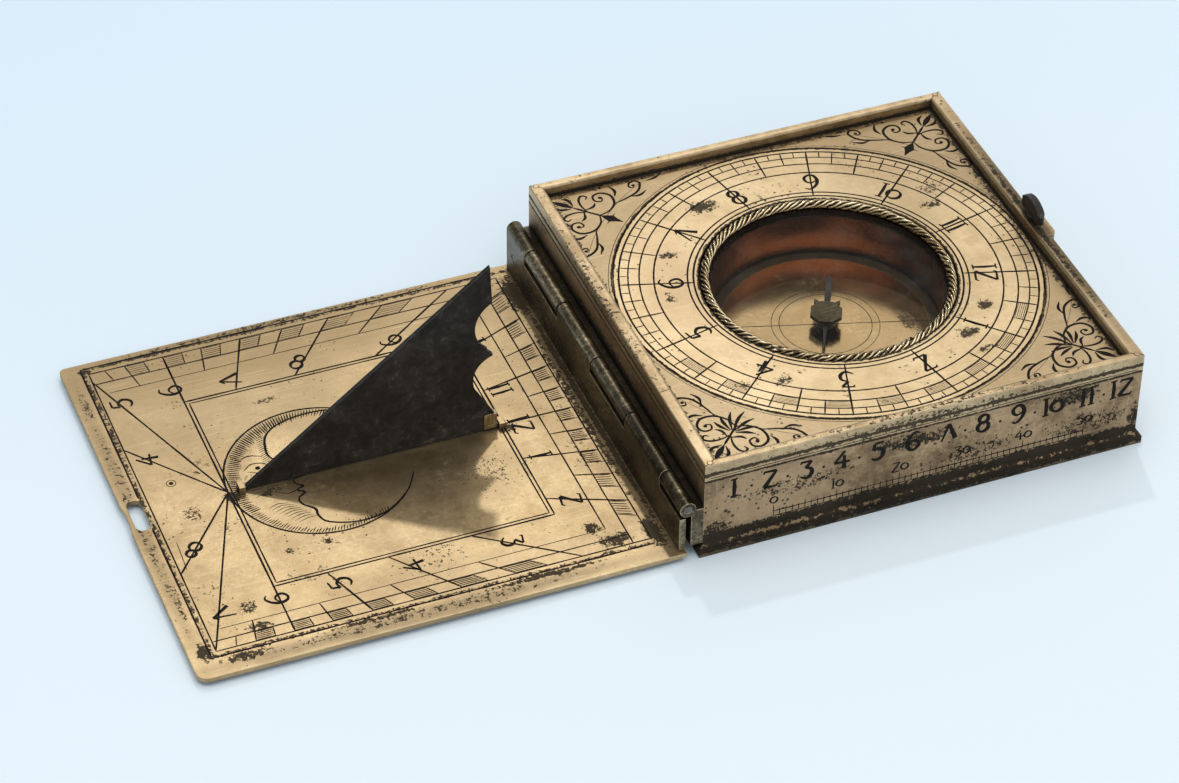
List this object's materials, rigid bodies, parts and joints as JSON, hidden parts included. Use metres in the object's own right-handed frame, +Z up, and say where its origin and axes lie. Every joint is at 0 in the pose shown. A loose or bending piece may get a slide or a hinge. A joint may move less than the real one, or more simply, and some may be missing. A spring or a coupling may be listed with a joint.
{
  "type": "horizontal sundial",
  "caption": "Pocket horizontal sundial of gilt brass: a hinged square lid engraved as the dial, a folding gnomon, and a box with a turning dial and a compass under glass.",
  "frame": {"origin": "centre of the box's base, on the surface it stands on", "axes": "+Z up, +X from the hinge towards the latch, so the open lid lies towards -X; +Y away from the front wall, along the hinge"},
  "size_m": [0.147, 0.072, 0.0324],
  "materials": {
    "lid_brass": "gilt brass, engraved and satin, with brown patina in the cuts",
    "case_brass": "gilt brass, rubbed bright on the edges, dark in the corners",
    "rim_brass": "bright gilt brass with fine scratches",
    "dial_brass": "engraved gilt brass, satin",
    "plain_brass": "plain polished brass",
    "hinge_brass": "brown tarnished brass, bright on the knuckles",
    "clip_brass": "bright brass",
    "ring_brass": "gilt wire with dark grooves",
    "bowl_copper": "reddish brown metal, polished by wear",
    "dark_iron": "blackened iron, dull",
    "steel_pin": "old steel, browned",
    "needle_steel": "blued steel",
    "cap_bronze": "dark bronze",
    "clear_glass": "thin clear glass"
  },
  "bodies": {
    "case": {"base_plate": "case_brass", "wall_front": "case_brass", "wall_back": "case_brass", "wall_hinge_side": "case_brass", "wall_latch_side": "case_brass", "rim_front": "rim_brass", "rim_back": "rim_brass", "rim_hinge_side": "rim_brass", "rim_latch_side": "rim_brass", "rim_pins": "rim_brass", "corner_plate": "dial_brass", "carrier_plate": "plain_brass", "case_hinge_leaf": "hinge_brass", "hinge_pin": "steel_pin", "latch_block": "rim_brass"},
    "dial": {"dial_disc": "dial_brass", "compass_bowl": "bowl_copper", "bowl_keeper": "plain_brass", "compass_floor": "plain_brass", "needle_pivot": "steel_pin", "compass_glass": "clear_glass", "twisted_ring": "ring_brass"},
    "needle": {"needle": "needle_steel", "needle_cap": "cap_bronze"},
    "lid": {"lid_plate": "lid_brass", "lid_hinge_leaf": "hinge_brass", "gnomon_bearings": "lid_brass"},
    "gnomon": {"gnomon_plate": "dark_iron", "gnomon_clip": "clip_brass", "gnomon_pin": "steel_pin"},
    "turn_button": {"turn_button": "dark_iron", "stem_collar": "dark_iron"}
  },
  "joints": [
    {"name": "lid_hinge", "type": "hinge", "parent": "case", "child": "lid", "pos_m": [-0.03745, 0, 0.00907], "axis": [0, 1, 0], "range_deg": [0, 180]},
    {"name": "gnomon_fold", "type": "hinge", "parent": "lid", "child": "gnomon", "pos_m": [-0.075, 0, 0.00205], "axis": [-1, 0, 0], "range_deg": [0, 90]},
    {"name": "dial_turn", "type": "hinge", "parent": "case", "child": "dial", "pos_m": [0, 0, 0.0147], "axis": [0, 0, 1], "continuous": true},
    {"name": "needle_swing", "type": "hinge", "parent": "dial", "child": "needle", "pos_m": [0, 0, 0.0075], "axis": [0, 0, 1], "continuous": true},
    {"name": "latch_turn", "type": "hinge", "parent": "case", "child": "turn_button", "pos_m": [0.03405, 0, 0.0186], "axis": [0, 0, 1], "range_deg": [0, 90]}
  ],
  "couplings": [
    {"joint": "gnomon_fold", "follows": "lid_hinge", "ratio": 0.5}
  ]
}
